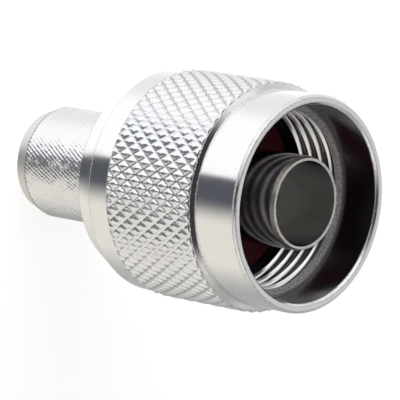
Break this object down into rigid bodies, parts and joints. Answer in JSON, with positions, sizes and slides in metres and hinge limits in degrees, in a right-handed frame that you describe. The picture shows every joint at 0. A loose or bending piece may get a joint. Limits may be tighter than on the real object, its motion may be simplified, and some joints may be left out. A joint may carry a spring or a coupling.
{
  "type": "coaxial cable plug",
  "caption": "Round coaxial plug with a knurled, internally threaded coupling nut that spins on the body, an inner contact tube and a knurled crimp stem.",
  "frame": {"origin": "on the axis, at the end of the crimp stem on which the plug stands", "axes": "+Z along the axis, from the crimp stem to the mouth that takes the jack"},
  "size_m": [0.019, 0.019, 0.0298],
  "materials": {
    "nut_plating": "bright nickel plate over knurled brass",
    "body_plating": "bright nickel plate over turned brass",
    "stem_plating": "bright nickel plate over finely knurled brass",
    "spring_bronze": "plain drawn spring bronze",
    "red_silicone": "matt red silicone",
    "white_bead": "waxy white fluoropolymer"
  },
  "bodies": {
    "plug": {"plug_body": "body_plating", "crimp_stem": "stem_plating", "snap_ring": "spring_bronze", "gasket": "red_silicone", "insulator": "white_bead"},
    "nut": {"coupling_nut": "nut_plating"}
  },
  "joints": [
    {"name": "nut_spin", "type": "hinge", "parent": "plug", "child": "nut", "pos_m": [0, 0, 0.0148], "axis": [0, 0, 1], "continuous": true}
  ]
}
